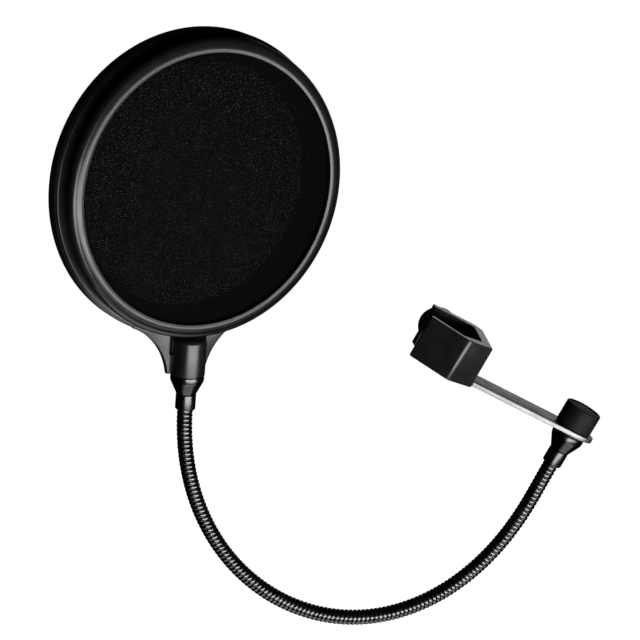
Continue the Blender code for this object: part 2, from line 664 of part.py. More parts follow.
def build_presser(presser):
    """The pressure pad slides along v, pushed by the screw, whose knob is behind the clamp."""
    plastic = material("pad_plastic")
    rubber = material("pad_rubber")
    steel = material("clamp_screw_steel")
    knob_look = material("knob_plastic")
    face = PAD_FACE_V
    w, h = PAD_HALF_WIDTH, PAD_HALF_HEIGHT
    rubber_back = face + 1.6 * MM
    plate = [(-w, -h), (w, -h), (w, h), (-w, h)]
    prism("pressure_pad_rubber", plate, face, rubber_back, rubber, presser, "Y")
    pad_front = rubber_back + GAP
    pad_back = pad_front + 5.0 * MM
    pad = prism("pressure_pad", plate, pad_front, pad_back, plastic, presser, "Y")
    screw_front = pad_front + 1.6 * MM
    screw_back = REAR_ARM_OUTER_V + 2.0 * MM + 7.0 * MM
    socket = lathe("pad_socket_cut", [
        (0.0, screw_front - GAP),
        (SCREW_R + GAP, screw_front - GAP),
        (SCREW_R + GAP, pad_back + 1.0 * MM),
        (0.0, pad_back + 1.0 * MM),
    ], plastic, presser, 24, "Y")
    boolean(pad, socket)
    lathe("clamp_screw", [
        (0.0, screw_front),
        (SCREW_R - 0.5 * MM, screw_front),
        (SCREW_R, screw_front + 0.5 * MM),
        (SCREW_R, screw_back),
        (0.0, screw_back),
    ], steel, presser, 24, "Y")
    knob_low = REAR_ARM_OUTER_V + 1.0 * MM
    knob_high = knob_low + KNOB_HEIGHT
    lathe("clamp_knob", [
        (0.0, screw_back + GAP),
        (SCREW_R + GAP, screw_back + GAP),
        (SCREW_R + GAP, knob_low),
        (KNOB_R - 1.0 * MM, knob_low),
        (KNOB_R, knob_low + 0.8 * MM),
        (KNOB_R, knob_high - 1.2 * MM),
        (KNOB_R - 1.2 * MM, knob_high),
        (0.0, knob_high),
    ], knob_look, presser, 40, "Y")


def build():
    clear_scene()
    head_center = NECK_FOOT + Vector((0.0, 0.0, RING_RISE))
    head_place = Matrix.Translation(head_center)
    head = empty("head_axis", head_place @ Matrix.Rotation(math.radians(HEAD_YAW_DEG), 4, "Z"))
    neck_swivel = empty("neck_swivel_axis", head_place)
    swivel = empty("arm_swivel_axis", Matrix.Translation(SWIVEL_POINT) @ CLAMP_MATRIX)
    clamp = empty("clamp_axis", CLAMP_MATRIX)
    presser = empty("screw_axis", CLAMP_MATRIX @ Matrix.Translation((SCREW_U, 0.0, 0.0)))
    build_hoop(head)
    build_neck_fitting(head, neck_swivel)
    build_gooseneck()
    build_arm_fitting(swivel)
    build_arm_knob(swivel)
    body = build_clamp_body(clamp)
    build_arm_bar(clamp, body)
    build_presser(presser)


build()
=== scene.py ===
"""Looks of the studio pop filter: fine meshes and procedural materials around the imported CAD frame."""

import json
import math

import bpy
import numpy as np
from mathutils import Matrix, Vector


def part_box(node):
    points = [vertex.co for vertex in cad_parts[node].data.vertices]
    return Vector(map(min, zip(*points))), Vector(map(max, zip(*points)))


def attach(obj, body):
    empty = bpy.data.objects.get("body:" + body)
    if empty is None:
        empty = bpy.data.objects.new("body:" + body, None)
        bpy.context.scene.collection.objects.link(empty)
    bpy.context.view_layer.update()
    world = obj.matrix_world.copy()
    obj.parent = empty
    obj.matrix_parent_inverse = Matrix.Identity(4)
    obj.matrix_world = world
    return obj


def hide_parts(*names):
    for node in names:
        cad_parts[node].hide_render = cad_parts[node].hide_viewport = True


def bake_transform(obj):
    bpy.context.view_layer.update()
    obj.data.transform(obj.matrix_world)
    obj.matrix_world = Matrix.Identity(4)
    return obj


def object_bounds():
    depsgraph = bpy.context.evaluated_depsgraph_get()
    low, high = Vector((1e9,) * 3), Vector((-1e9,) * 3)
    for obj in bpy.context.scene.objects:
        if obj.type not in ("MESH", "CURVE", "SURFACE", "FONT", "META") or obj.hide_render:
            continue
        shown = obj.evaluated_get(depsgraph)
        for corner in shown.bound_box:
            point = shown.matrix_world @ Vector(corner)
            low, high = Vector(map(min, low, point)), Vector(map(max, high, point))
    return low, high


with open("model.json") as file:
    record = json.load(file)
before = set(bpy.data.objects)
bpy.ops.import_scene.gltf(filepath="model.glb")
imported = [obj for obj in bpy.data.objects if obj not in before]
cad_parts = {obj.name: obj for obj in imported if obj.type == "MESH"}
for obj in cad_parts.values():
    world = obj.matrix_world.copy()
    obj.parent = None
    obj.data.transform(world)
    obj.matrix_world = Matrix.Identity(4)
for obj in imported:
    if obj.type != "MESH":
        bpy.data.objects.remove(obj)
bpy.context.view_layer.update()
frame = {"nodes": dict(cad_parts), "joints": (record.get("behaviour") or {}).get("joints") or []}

MM = 0.001
GAP = 0.3 * MM
ROUND = 192                    # facets around a hoop
SMALL_ROUND = 72               # facets around a knob, sleeve or washer

# Hoop, about its own axis: radii, and depths from the neck's axis (negative is the front)
LIP_FRONT = -12.0 * MM
LIP_INNER_R = 71.2 * MM
SEAM_R = 75.9 * MM
FRONT_OUTER_R = 78.6 * MM
NOSE_R = 3.4 * MM                # rounding of the front hoop's outer edge
LIP_CREST_R = 72.9 * MM          # where the lip stands furthest forward, and its rounding to both sides
LIP_CROWN = 4.9 * MM
FRONT_BACK = -6.5 * MM
REAR_FRONT = 1.0 * MM
REAR_BACK = 9.5 * MM
REAR_OUTER_R = 81.0 * MM
REAR_WALL_R = 78.5 * MM
REAR_INNER_R = 65.0 * MM
REAR_CHAMFER = 1.5 * MM
SEAT_DEPTH = 2.5 * MM
FRONT_SCREEN_DEPTH = -8.95 * MM
REAR_SCREEN_DEPTH = 4.05 * MM
FRONT_SCREEN_R = 75.6 * MM
REAR_SCREEN_R = 78.2 * MM
SPACER_INNER_R = 70.5 * MM
SPACER_OUTER_R = 73.5 * MM

# Neck plate and boss, as depths below the hoop's centre
BOSS_R = 9.2 * MM
BOSS_TOP = 81.2 * MM
BOSS_FOOT = 101.5 * MM
PLATE_FRONT = 1.5 * MM
PLATE_BACK = 5.0 * MM
FLANK_R = 34.6 * MM
FLANK_CENTER = (45.3 * MM, -106.7 * MM)
PLATE_HALF_WIDTH = 33.0 * MM
PLATE_TOP = 70.0 * MM
POCKET_HALF_WIDTH = BOSS_R + 1.6 * MM
POCKET_TOP = 79.0 * MM
POCKET_FOOT = BOSS_TOP + 10.0 * MM
INSERT_HOLE_R = 5.3 * MM
INSERT_HOLE_DEPTH = 12.3 * MM

# Fittings at both ends of the gooseneck, and the gooseneck
STUD_R = 2.9 * MM
COLLAR_R = 9.0 * MM
COLLAR_HEIGHT = 2.7 * MM
CONE_HEIGHT = 7.2 * MM
SLEEVE_R = 5.4 * MM
GOOSENECK_LENGTH = 316.9 * MM
GOOSENECK_R = 4.2 * MM
BEAD_DEPTH = 0.75 * MM
BEAD_PITCH = 2.4 * MM
BEND_KNOTS = (0.0, 173.1 * MM, 288.6 * MM, GOOSENECK_LENGTH)
BEND_DEG_PER_MM = (0.3544, 0.7313, 0.3202, -0.2457)
LINKS = 10
TUBE_SIDES = 40                # around the gooseneck and the screw
TURN_RINGS = 10                # along one turn of wire or thread

# Clamp and arm, in the clamp's axes: u along the arm, v away from the person, w along the stand tube
HALF_HEIGHT = 12.0 * MM
JAW_ANGLE = math.radians(30.0)
JAW_APEX = (2.5 * MM, -21.0 * MM)
JAW_WING = 24.2 * MM
NOTCH_V = -14.5 * MM
WEB_OUTER_U = 18.0 * MM
WEB_INNER_U = 12.0 * MM
REAR_ARM_V = (19.0 * MM, 26.0 * MM)
REAR_ARM_END_U = -12.3 * MM
SCREW_U = -1.5 * MM
SCREW_R = 3.0 * MM
THREAD_PITCH = 1.0 * MM
THREAD_DEPTH = 0.55 * MM
ARM_LOW = -11.4 * MM
ARM_THICKNESS = 2.5 * MM
ARM_HALF = 10.0 * MM
ARM_END_OVERHANG = 2.75 * MM     # the round end's centre lies this far beyond the swivel
ARM_NECK_HALF = 7.7 * MM
TAB_TOP = 5.6 * MM
TAB_SCREW_V = 4.6 * MM           # its two screws to either side, and above the arm's underside
TAB_SCREW_RISE = 10.5 * MM
TAB_HOLE_R = 1.8 * MM
FITTING_LENGTH = 20.4 * MM       # from the arm's underside to the gooseneck
WASHER_FOOT = 1.3 * MM           # below the arm's underside
ARM_STUD_TOP = 11.1 * MM
ARM_KNOB_R = 10.1 * MM
ARM_KNOB_TOP = 12.6 * MM         # above the arm
KNOB_WASHER_R = 7.5 * MM
CLAMP_KNOB_R = 10.5 * MM


def joint_place(name):
    """Where a CAD joint stands, and its axis."""
    found = next(joint for joint in frame["joints"] if joint["name"] == name)
    return Vector(found["pos_m"]), Vector(found["axis"])


def box_middle(node):
    low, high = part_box(node)
    return (low + high) / 2.0


def axes_matrix(x_axis, y_axis, z_axis, origin):
    made = Matrix((x_axis, y_axis, z_axis)).transposed().to_4x4()
    made.translation = origin
    return made


UP = Vector((0.0, 0.0, 1.0))
AWAY = Vector((0.0, 1.0, 0.0))
HEAD_CENTER, _ = joint_place("screen_swivel")
HEAD_BACK = (box_middle("rear_screen") - box_middle("front_screen")).normalized()
HEAD = axes_matrix(HEAD_BACK.cross(UP), HEAD_BACK, UP, HEAD_CENTER)
SWIVEL_POINT, ARM_UP = joint_place("arm_swivel")
ARM_ALONG = AWAY.cross(ARM_UP)
CLAMP = axes_matrix(ARM_ALONG, AWAY, ARM_UP, Vector((0.0, 0.0, 0.0)))
SWIVEL = axes_matrix(ARM_ALONG, AWAY, ARM_UP, SWIVEL_POINT)
SWIVEL_U = SWIVEL_POINT.dot(ARM_ALONG)
TURN_TO_Y = Matrix.Rotation(-math.pi / 2.0, 4, "X")
NECK_FOOT = Vector((HEAD_CENTER.x, 0.0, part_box("head_sleeve")[0].z))
RING_RISE = HEAD_CENTER.z - NECK_FOOT.z


# ---------------------------------------------------------------- outlines

def rounded(corners, steps=4):
    """A closed outline whose corners (x, y, radius) are rounded with arcs."""
    points = []
    count = len(corners)
    for index, corner in enumerate(corners):
        here = np.array(corner[:2], float)
        radius = corner[2] if len(corner) > 2 else 0.0
        if radius <= 0.0:
            points.append(here)
            continue
        before = np.array(corners[index - 1][:2], float) - here
        after = np.array(corners[(index + 1) % count][:2], float) - here
        before /= np.linalg.norm(before)
        after /= np.linalg.norm(after)
        half = math.acos(max(-1.0, min(1.0, float(before @ after)))) / 2.0
        middle = before + after
        middle /= np.linalg.norm(middle)
        center = here + middle * radius / math.sin(half)
        first = here + before * radius / math.tan(half) - center
        last = here + after * radius / math.tan(half) - center
        sweep = math.pi - 2.0 * half
        for step in range(steps + 1):
            share = step / steps
            mixed = math.sin((1.0 - share) * sweep) * first + math.sin(share * sweep) * last
            points.append(center + mixed / math.sin(sweep))
    return [tuple(point) for point in points]


def arc(center, radius, start_deg, end_deg, steps):
    angles = np.radians(np.linspace(start_deg, end_deg, steps + 1))
    return [(center[0] + radius * math.cos(a), center[1] + radius * math.sin(a)) for a in angles]


def offset(outline, distance):
    """The outline moved inwards by a distance; it runs anticlockwise."""
    points = np.array(outline, float)
    into = points - np.roll(points, 1, axis=0)
    out = np.roll(points, -1, axis=0) - points
    into /= np.linalg.norm(into, axis=1)[:, None]
    out /= np.linalg.norm(out, axis=1)[:, None]
    side = np.stack([-(into + out)[:, 1], (into + out)[:, 0]], axis=1)
    side /= np.linalg.norm(side, axis=1)[:, None]
    into_side = np.stack([-into[:, 1], into[:, 0]], axis=1)
    stretch = np.maximum((side * into_side).sum(axis=1), 0.5)
    return points + side * (distance / stretch)[:, None]


def anticlockwise(outline):
    points = np.array(outline, float)
    after = np.roll(points, -1, axis=0)
    area = (points[:, 0] * after[:, 1] - points[:, 1] * after[:, 0]).sum()
    return points if area > 0.0 else points[::-1]


# ---------------------------------------------------------------- meshes

def new_piece(name, points, faces, place=None, smooth_deg=35.0):
    mesh = bpy.data.meshes.new(name)
    mesh.from_pydata([tuple(point) for point in points], [], faces)
    mesh.validate()
    mesh.update()
    made = bpy.data.objects.new(name, mesh)
    bpy.context.scene.collection.objects.link(made)
    made.matrix_world = place if place is not None else Matrix.Identity(4)
    turn_out(made)
    soften(made, smooth_deg)
    return made


def turn_out(piece):
    """Turn a closed mesh's faces outwards."""
    mesh = piece.data
    points = np.array([vertex.co for vertex in mesh.vertices])
    mesh.calc_loop_triangles()
    corners = np.array([triangle.vertices for triangle in mesh.loop_triangles])
    a, b, c = (points[corners[:, column]] for column in range(3))
    if np.einsum("ij,ij->i", a, np.cross(b, c)).sum() < 0.0:
        mesh.flip_normals()


def soften(piece, angle_deg):
    piece.data.shade_smooth()
    piece.data.set_sharp_from_angle(angle=math.radians(angle_deg))


def lathe(name, profile, place, facets=SMALL_ROUND):
    """Turn a profile of (radius, height) points about the place's Z. It closes on itself, or on the axis
    where its ends have no radius."""
    angles = np.linspace(0.0, 2.0 * math.pi, facets, endpoint=False)
    on_axis = profile[0][0] < 1e-9
    inner = profile[1:-1] if on_axis else profile
    points = []
    for radius, height in inner:
        for angle in angles:
            points.append((radius * math.cos(angle), radius * math.sin(angle), height))
    rings = len(inner)
    faces = []
    for ring in range(rings - 1 if on_axis else rings):
        low, high = ring * facets, (ring + 1) % rings * facets
        for step in range(facets):
            after = (step + 1) % facets
            faces.append((low + step, low + after, high + after, high + step))
    if on_axis:
        first, last = len(points), len(points) + 1
        points += [(0.0, 0.0, profile[0][1]), (0.0, 0.0, profile[-1][1])]
        top = (rings - 1) * facets
        for step in range(facets):
            after = (step + 1) % facets
            faces.append((first, after, step))
            faces.append((last, top + step, top + after))
    return new_piece(name, points, faces, place)


def slab(name, outline, low, high, edge, place, steps=3):
    """An outline extruded between two heights, with its rims rounded by edge."""
    outline = anticlockwise(outline)
    levels = []
    for step in range(steps + 1):
        angle = math.pi / 2.0 * step / steps
        levels.append((edge * (1.0 - math.sin(angle)), low + edge * (1.0 - math.cos(angle))))
    levels += [(inset, high + low - height) for inset, height in reversed(levels)]
    points = []
    for inset, height in levels:
        points += [(x, y, height) for x, y in offset(outline, inset)]
    count = len(outline)
    faces = [tuple(range(count))[::-1], tuple(range(len(points) - count, len(points)))]
    for level in range(len(levels) - 1):
        base = level * count
        for step in range(count):
            after = (step + 1) % count
            faces.append((base + step, base + after, base + count + after, base + count + step))
    return new_piece(name, points, faces, place)


def wound_tube(name, station, start, end, profile, pitch, per_turn, sides):
    """A closed tube wound with a helix. profile(phase) gives its radius, station(distance) its centre and
    the two axes of its section."""
    count = max(2, round((end - start) / pitch * per_turn))
    angles = np.linspace(0.0, 2.0 * math.pi, sides, endpoint=False)
    rings = []
    distances = []
    for distance in np.linspace(start, end, count + 1):
        center, side, other = station(distance)
        radius = profile((distance / pitch - angles / (2.0 * math.pi)) % 1.0)
        ring = np.outer(radius * np.cos(angles), side) + np.outer(radius * np.sin(angles), other)
        rings.append(ring + np.array(center))
        distances.append(distance)
    points = np.concatenate(rings)
    faces = []
    for ring in range(count):
        low, high = ring * sides, (ring + 1) * sides
        for step in range(sides):
            after = (step + 1) % sides
            faces.append((low + step, low + after, high + after, high + step))
    points = np.concatenate([points, [station(start)[0], station(end)[0]]])
    top = count * sides
    for step in range(sides):
        after = (step + 1) % sides
        faces.append((len(points) - 2, after, step))
        faces.append((len(points) - 1, top + step, top + after))
    made = new_piece(name, points, faces, smooth_deg=60.0)
    add_winding_map(made, sides, top, distances)
    return made


def add_winding_map(piece, sides, top, distances):
    """A texture map in metres that stays with the tube as it bends: around it, and along it."""
    layer = piece.data.uv_layers.new(name="winding")
    size = 2.0 * math.pi * GOOSENECK_R / sides
    for loop in piece.data.loops:
        index = loop.vertex_index
        ring, step = divmod(index, sides) if index < top + sides else (0, 0)
        layer.data[loop.index].uv = (step * size, distances[ring])


def combine(piece, other, operation):
    """Join, or cut, with another mesh, which is used up."""
    modifier = piece.modifiers.new("combine", "BOOLEAN")
    modifier.operation = operation
    modifier.object = other
    modifier.solver = "EXACT"
    bpy.context.view_layer.update()
    graph = bpy.context.evaluated_depsgraph_get()
    mesh = bpy.data.meshes.new_from_object(piece.evaluated_get(graph))
    piece.modifiers.clear()
    piece.data = mesh
    bpy.data.objects.remove(other, do_unlink=True)
    soften(piece, 30.0)
    return piece


def plug(radius, low, high, place, facets=48):
    """A plain round cutter."""
    return lathe("cutter", [(0.0, low), (radius, low), (radius, high), (0.0, high)], place, facets)


# ---------------------------------------------------------------- materials

def add_node(tree, kind, **inputs):
    node = tree.nodes.new(kind)
    for name, value in inputs.items():
        node.inputs[name.replace("_", " ")].default_value = value
    return node


def grey(value, tint=0.0):
    return (value * (1.0 - tint), value, value * (1.0 + tint), 1.0)


def finish_look(name, dark, light, roughness, metallic=0.0, grain=0.3, depth=0.01, patch=9.0, streak=None,
                wear=0.0, tint=0.0, coordinates="Object", specular=0.5):
    """A grained surface. dark and light are its shades, roughness its range, grain and patch the sizes (mm)
    of its fine and broad variation, depth the grain's height (mm), streak the stretch of a brushed finish
    along each axis, and wear how far its edges are rubbed paler."""
    made = bpy.data.materials.new(name)
    made.use_nodes = True
    tree = made.node_tree
    link = tree.links.new
    shader = tree.nodes["Principled BSDF"]
    shader.inputs["Metallic"].default_value = metallic
    shader.inputs["Specular IOR Level"].default_value = specular
    place = add_node(tree, "ShaderNodeTexCoord")
    mapping = add_node(tree, "ShaderNodeMapping", Scale=streak or (1.0, 1.0, 1.0))
    link(place.outputs[coordinates], mapping.inputs["Vector"])
    fine = add_node(tree, "ShaderNodeTexNoise", Scale=1.0 / (grain * MM), Detail=3.0, Roughness=0.6)
    broad = add_node(tree, "ShaderNodeTexNoise", Scale=1.0 / (patch * MM), Detail=4.0, Roughness=0.55)
    link(mapping.outputs["Vector"], fine.inputs["Vector"])
    link(place.outputs[coordinates], broad.inputs["Vector"])
    both = add_node(tree, "ShaderNodeMath")
    both.operation = "ADD"
    link(fine.outputs["Fac"], both.inputs[0])
    link(broad.outputs["Fac"], both.inputs[1])
    shade = add_node(tree, "ShaderNodeMapRange")
    shade.inputs["From Min"].default_value = 0.7
    shade.inputs["From Max"].default_value = 1.3
    link(both.outputs[0], shade.inputs["Value"])
    color = add_node(tree, "ShaderNodeMix")
    color.data_type = "RGBA"
    color.inputs[6].default_value = grey(dark, tint)
    color.inputs[7].default_value = grey(light, tint)
    link(shade.outputs["Result"], color.inputs[0])
    result = color.outputs[2]
    if wear > 0.0:
        shape = add_node(tree, "ShaderNodeNewGeometry")
        edge = add_node(tree, "ShaderNodeMapRange")
        edge.inputs["From Min"].default_value = 0.52
        edge.inputs["From Max"].default_value = 0.62
        edge.inputs["To Max"].default_value = wear
        link(shape.outputs["Pointiness"], edge.inputs["Value"])
        rubbed = add_node(tree, "ShaderNodeMix")
        rubbed.data_type = "RGBA"
        rubbed.inputs[7].default_value = grey(min(1.0, light * 3.0), tint)
        link(edge.outputs["Result"], rubbed.inputs[0])
        link(result, rubbed.inputs[6])
        result = rubbed.outputs[2]
    link(result, shader.inputs["Base Color"])
    gloss = add_node(tree, "ShaderNodeMapRange")
    gloss.inputs["From Min"].default_value = 0.3
    gloss.inputs["From Max"].default_value = 0.7
    gloss.inputs["To Min"].default_value = roughness[0]
    gloss.inputs["To Max"].default_value = roughness[1]
    link(broad.outputs["Fac"], gloss.inputs["Value"])
    link(gloss.outputs["Result"], shader.inputs["Roughness"])
    bump = add_node(tree, "ShaderNodeBump", Strength=1.0, Distance=depth * MM)
    link(fine.outputs["Fac"], bump.inputs["Height"])
    link(bump.outputs["Normal"], shader.inputs["Normal"])
    return made


def brass_look(name):
    made = finish_look(name, 0.4, 0.5, (0.25, 0.4), metallic=1.0, streak=(1.0, 1.0, 8.0), depth=0.004)
    for node in made.node_tree.nodes:
        if node.type == "MIX":
            node.inputs[6].default_value = (0.45, 0.31, 0.12, 1.0)
            node.inputs[7].default_value = (0.62, 0.45, 0.2, 1.0)
    return made


def scaled_sine(tree, value, pitch):
    scaled = add_node(tree, "ShaderNodeMath")
    scaled.operation = "MULTIPLY"
    scaled.inputs[1].default_value = math.pi / pitch
    tree.links.new(value, scaled.inputs[0])
    wave = add_node(tree, "ShaderNodeMath")
    wave.operation = "SINE"
    tree.links.new(scaled.outputs[0], wave.inputs[0])
    return wave.outputs[0]


def knit_look(name, wale, course, turn_deg, open_share):
    """A fine warp knit: rows of loops with a small hole between them, in the plane of the disc's own X and Z.
    wale and course are its pitches, and the rows wander a little, as a stretched knit's do."""
    made = finish_look(name, 0.0008, 0.0022, (0.85, 0.98), grain=0.3, depth=0.01, specular=0.05)
    tree = made.node_tree
    link = tree.links.new
    shader = tree.nodes["Principled BSDF"]
    place = add_node(tree, "ShaderNodeTexCoord")
    turn = add_node(tree, "ShaderNodeMapping", Rotation=(0.0, math.radians(turn_deg), 0.0))
    link(place.outputs["Object"], turn.inputs["Vector"])
    wander = add_node(tree, "ShaderNodeTexNoise", Scale=1.0 / (2.3 * MM), Detail=2.0)
    link(place.outputs["Object"], wander.inputs["Vector"])
    shift = add_node(tree, "ShaderNodeVectorMath")
    shift.operation = "SCALE"
    shift.inputs["Scale"].default_value = 1.3 * MM
    link(wander.outputs["Color"], shift.inputs[0])
    moved = add_node(tree, "ShaderNodeVectorMath")
    moved.operation = "ADD"
    link(turn.outputs["Vector"], moved.inputs[0])
    link(shift.outputs["Vector"], moved.inputs[1])
    apart = add_node(tree, "ShaderNodeSeparateXYZ")
    link(moved.outputs["Vector"], apart.inputs["Vector"])
    product = add_node(tree, "ShaderNodeMath")
    product.operation = "MULTIPLY"
    link(scaled_sine(tree, apart.outputs["X"], wale), product.inputs[0])
    link(scaled_sine(tree, apart.outputs["Z"], course), product.inputs[1])
    hole = add_node(tree, "ShaderNodeMath")
    hole.operation = "ABSOLUTE"
    link(product.outputs[0], hole.inputs[0])
    clear = add_node(tree, "ShaderNodeMapRange")
    clear.inputs["From Min"].default_value = 0.8
    clear.inputs["From Max"].default_value = 0.92
    clear.inputs["To Min"].default_value = 1.0
    clear.inputs["To Max"].default_value = 1.0 - open_share
    link(hole.outputs[0], clear.inputs["Value"])
    link(clear.outputs["Result"], shader.inputs["Alpha"])
    return made


LOOKS = {
    "hoop": finish_look("satin_black_plastic", 0.005, 0.009, (0.28, 0.36), depth=0.010, wear=0.1),
    # the lip's plastic is the hoop's painted lighter, as painted sheen; its roughness is the same
    "lip": finish_look("black_plastic_painted_sheen", 0.010, 0.016, (0.28, 0.36), depth=0.008, wear=0.1),
    "front_knit": knit_look("front_nylon_knit", 0.62 * MM, 0.54 * MM, 0.0, 0.6),
    "rear_knit": knit_look("rear_nylon_knit", 0.57 * MM, 0.66 * MM, 31.0, 0.5),
    "chrome": finish_look("black_chrome", 0.045, 0.07, (0.2, 0.3), metallic=1.0, depth=0.001, tint=0.02),
    "gooseneck": finish_look("black_wound_steel", 0.07, 0.13, (0.2, 0.32), metallic=1.0, depth=0.004,
                             coordinates="UV"),
    "nylon": finish_look("black_nylon", 0.012, 0.02, (0.5, 0.65), depth=0.01),
    "zinc": finish_look("zinc_plated_steel", 0.38, 0.52, (0.25, 0.42), metallic=1.0, depth=0.004, tint=0.02),
    "brass": brass_look("turned_brass"),
    "knob": finish_look("matte_black_plastic", 0.003, 0.006, (0.55, 0.7), grain=0.45, depth=0.03, wear=0.04,
                        specular=0.2),
    "clamp": finish_look("black_filled_nylon", 0.007, 0.013, (0.25, 0.33), grain=0.4, depth=0.012, wear=0.1),
    "rubber": finish_look("black_rubber", 0.01, 0.02, (0.7, 0.9), grain=0.5, depth=0.03),
    "bar": finish_look("gunmetal_steel", 0.13, 0.2, (0.36, 0.5), metallic=0.9, depth=0.004,
                       streak=(0.06, 1.0, 1.0), wear=0.3),
}
CAD_LOOKS = {
    "neck_insert": "brass",
    "arm_knob_insert": "brass",
    "friction_washer": "nylon",
    "knob_washer": "zinc",
}


def dress(piece, look, body, slot, *nodes):
    """Give a piece its material and body, and hide the CAD nodes it replaces."""
    piece.data.materials.clear()
    piece.data.materials.append(LOOKS[look])
    if body:
        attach(piece, body)
    if nodes:
        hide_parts(*nodes)
    return piece


# ---------------------------------------------------------------- hoop and neck

HOOP = HEAD @ TURN_TO_Y


def build_front_hoop():
    """The rolled front hoop, and the ring that holds the front screen in it, its plastic painted lighter than
    the hoop's as painted sheen.
    """
    shelf = FRONT_SCREEN_DEPTH + 0.25 * MM + GAP
    lip_back = LIP_FRONT + SEAT_DEPTH
    inner = LIP_INNER_R + 0.4 * MM
    nose = (FRONT_OUTER_R - NOSE_R, LIP_FRONT + NOSE_R)
    nose_end = -math.degrees(math.acos((SEAM_R - nose[0]) / NOSE_R))
    shoulder = rounded([
        (SEAM_R, shelf),
        (inner, shelf, 0.3 * MM),
        (inner, FRONT_BACK, 0.4 * MM),
        (FRONT_OUTER_R, FRONT_BACK, 0.5 * MM),
    ], 6)
    hoop = shoulder + arc(nose, NOSE_R, 0.0, nose_end, 14)
    dress(lathe("front_hoop_shell", hoop, HOOP, ROUND), "hoop", "head", "hoop_plastic", "front_hoop")
    seat = SEAM_R - 0.05 * MM
    spread = math.degrees(math.asin((seat - LIP_CREST_R) / LIP_CROWN))
    face = arc((LIP_CREST_R, LIP_FRONT + LIP_CROWN), LIP_CROWN, spread - 90.0, -105.0, 12)
    lip = face + rounded([
        face[-1],
        (LIP_INNER_R, face[-1][1], 0.35 * MM),
        (LIP_INNER_R, lip_back, 0.2 * MM),
        (seat, lip_back),
    ], 4)[1:]
    dress(lathe("front_lip", lip, HOOP, ROUND), "lip", "head", "lip_plastic", "front_retaining_ring")


def build_screen(name, radius, depth, node):
    """A stretched disc of knit."""
    rings, facets = 40, ROUND
    points = [(0.0, depth, 0.0)]
    for ring in range(1, rings + 1):
        r = radius * ring / rings
        for step in range(facets):
            angle = 2.0 * math.pi * step / facets
            points.append((r * math.cos(angle), depth, r * math.sin(angle)))
    faces = [(0, 1 + step, 1 + (step + 1) % facets) for step in range(facets)]
    for ring in range(rings - 1):
        low, high = 1 + ring * facets, 1 + (ring + 1) * facets
        for step in range(facets):
            after = (step + 1) % facets
            faces.append((low + step, high + step, high + after, low + after))
    made = new_piece(name, points, faces, HEAD)
    dress(made, name, "head", "screen_knit", node)


def plate_outline():
    """Concave flanks from the hoop down to the boss."""
    right = arc(FLANK_CENTER, FLANK_R, 171.0, 112.0, 40)
    top = [(PLATE_HALF_WIDTH, -PLATE_TOP), (-PLATE_HALF_WIDTH, -PLATE_TOP)]
    left = [(-x, z) for x, z in reversed(right)]
    foot = BOSS_R - 0.5 * MM
    low = -BOSS_FOOT + 0.2 * MM
    return right + top + left + [(-foot, low), (foot, low)]


def build_rear_hoop():
    """Rear hoop, neck plate and boss, one moulding, with a pocket above the boss."""
    ring = rounded([
        (REAR_INNER_R, REAR_FRONT, 0.5 * MM),
        (REAR_INNER_R, REAR_FRONT + SEAT_DEPTH, 0.4 * MM),
        (REAR_WALL_R, REAR_FRONT + SEAT_DEPTH),
        (REAR_WALL_R, REAR_BACK, 0.5 * MM),
        (REAR_OUTER_R, REAR_BACK, 0.9 * MM),
        (REAR_OUTER_R, REAR_FRONT + REAR_CHAMFER, 0.5 * MM),
        (REAR_OUTER_R - REAR_CHAMFER, REAR_FRONT, 0.5 * MM),
    ], 5)
    hoop = lathe("rear_hoop_shell", ring, HOOP, ROUND)
    stand = HEAD @ Matrix.Rotation(math.pi / 2.0, 4, "X")
    plate = slab("neck_plate", plate_outline(), -PLATE_BACK, -PLATE_FRONT, 0.5 * MM, stand)
    inside = plug(REAR_WALL_R + 1.2 * MM, -5.0 * MM, 15.0 * MM, HOOP, ROUND)
    combine(plate, inside, "DIFFERENCE")
    pocket = rounded([
        (-POCKET_HALF_WIDTH, -POCKET_TOP, 0.6 * MM),
        (POCKET_HALF_WIDTH, -POCKET_TOP, 0.6 * MM),
        (POCKET_HALF_WIDTH, -POCKET_FOOT, 1.5 * MM),
        (-POCKET_HALF_WIDTH, -POCKET_FOOT, 1.5 * MM),
    ])
    floor = -PLATE_BACK + 0.8 * MM
    combine(plate, slab("cutter", pocket, floor, 0.0, 0.2 * MM, stand), "DIFFERENCE")
    boss = lathe("neck_boss", [
        (0.0, -BOSS_FOOT),
        *rounded([
            (BOSS_R - 2.0 * MM, -BOSS_FOOT),
            (BOSS_R, -BOSS_FOOT, 0.3 * MM),
            (BOSS_R, -BOSS_TOP, 2.4 * MM),
            (BOSS_R - 3.0 * MM, -BOSS_TOP),
        ], 10),
        (0.0, -BOSS_TOP),
    ], HEAD)
    hole = plug(INSERT_HOLE_R, -BOSS_FOOT - MM, -BOSS_FOOT + INSERT_HOLE_DEPTH, HEAD)
    combine(boss, hole, "DIFFERENCE")
    combine(hoop, plate, "UNION")
    combine(hoop, boss, "UNION")
    dress(hoop, "hoop", "head", "hoop_plastic", "rear_hoop")


